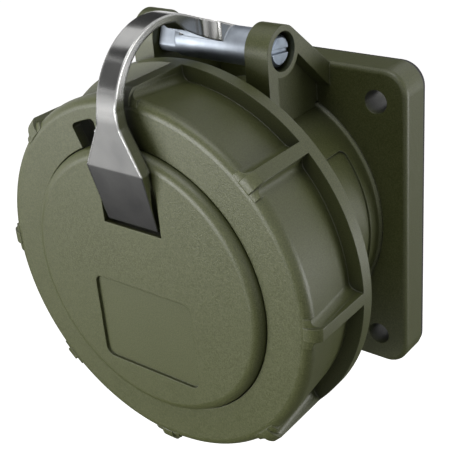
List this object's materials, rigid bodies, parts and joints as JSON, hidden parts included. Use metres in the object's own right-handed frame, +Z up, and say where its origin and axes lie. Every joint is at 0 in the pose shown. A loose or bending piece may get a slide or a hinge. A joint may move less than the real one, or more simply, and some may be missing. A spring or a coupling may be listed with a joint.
{
  "type": "industrial panel socket",
  "caption": "Square-flanged industrial panel socket with female contacts, a lid on a steel hinge strap and a ribbed bayonet locking ring.",
  "frame": {"origin": "on the socket's axis, in the plane of the panel's front face", "axes": "+Z up, -Y forwards to the user, out of the panel, +X to the user's right"},
  "size_m": [0.1316, 0.1272, 0.1491],
  "materials": {
    "olive_plastic": "fine matte grain",
    "strap_steel": "polished",
    "zinc_steel": "bright zinc plating",
    "seal_rubber": "matte",
    "insert_plastic": "satin",
    "contact_brass": "machined"
  },
  "bodies": {
    "root": {"housing": "olive_plastic", "collar": "olive_plastic", "flange_gasket": "seal_rubber", "hinge_screw": "zinc_steel", "hinge_nut": "zinc_steel", "insert_face": "insert_plastic", "insert_sleeve": "insert_plastic", "contact_plate": "insert_plastic", "contact_retainer": "insert_plastic", "insert_screws": "zinc_steel", "terminal_carrier": "insert_plastic", "carrier_screws": "zinc_steel", "contact_l1": "contact_brass", "contact_l2": "contact_brass", "contact_l3": "contact_brass", "contact_n": "contact_brass", "contact_pe": "contact_brass", "contact_pilot": "contact_brass", "contact_springs": "strap_steel", "terminal_screws": "zinc_steel"},
    "lid": {"lid_strap": "strap_steel", "lid_disc": "olive_plastic", "lid_gasket": "seal_rubber", "strap_screws": "zinc_steel"},
    "ring": {"bayonet_ring": "olive_plastic"}
  },
  "joints": [
    {"name": "lid_hinge", "type": "hinge", "parent": "root", "child": "lid", "pos_m": [0, -0.0388, 0.0675], "axis": [-1, 0, 0], "range_deg": [0, 110]},
    {"name": "ring_turn", "type": "hinge", "parent": "lid", "child": "ring", "pos_m": [0, -0.068, 0], "axis": [0, 1, 0], "range_deg": [0, 40]}
  ]
}
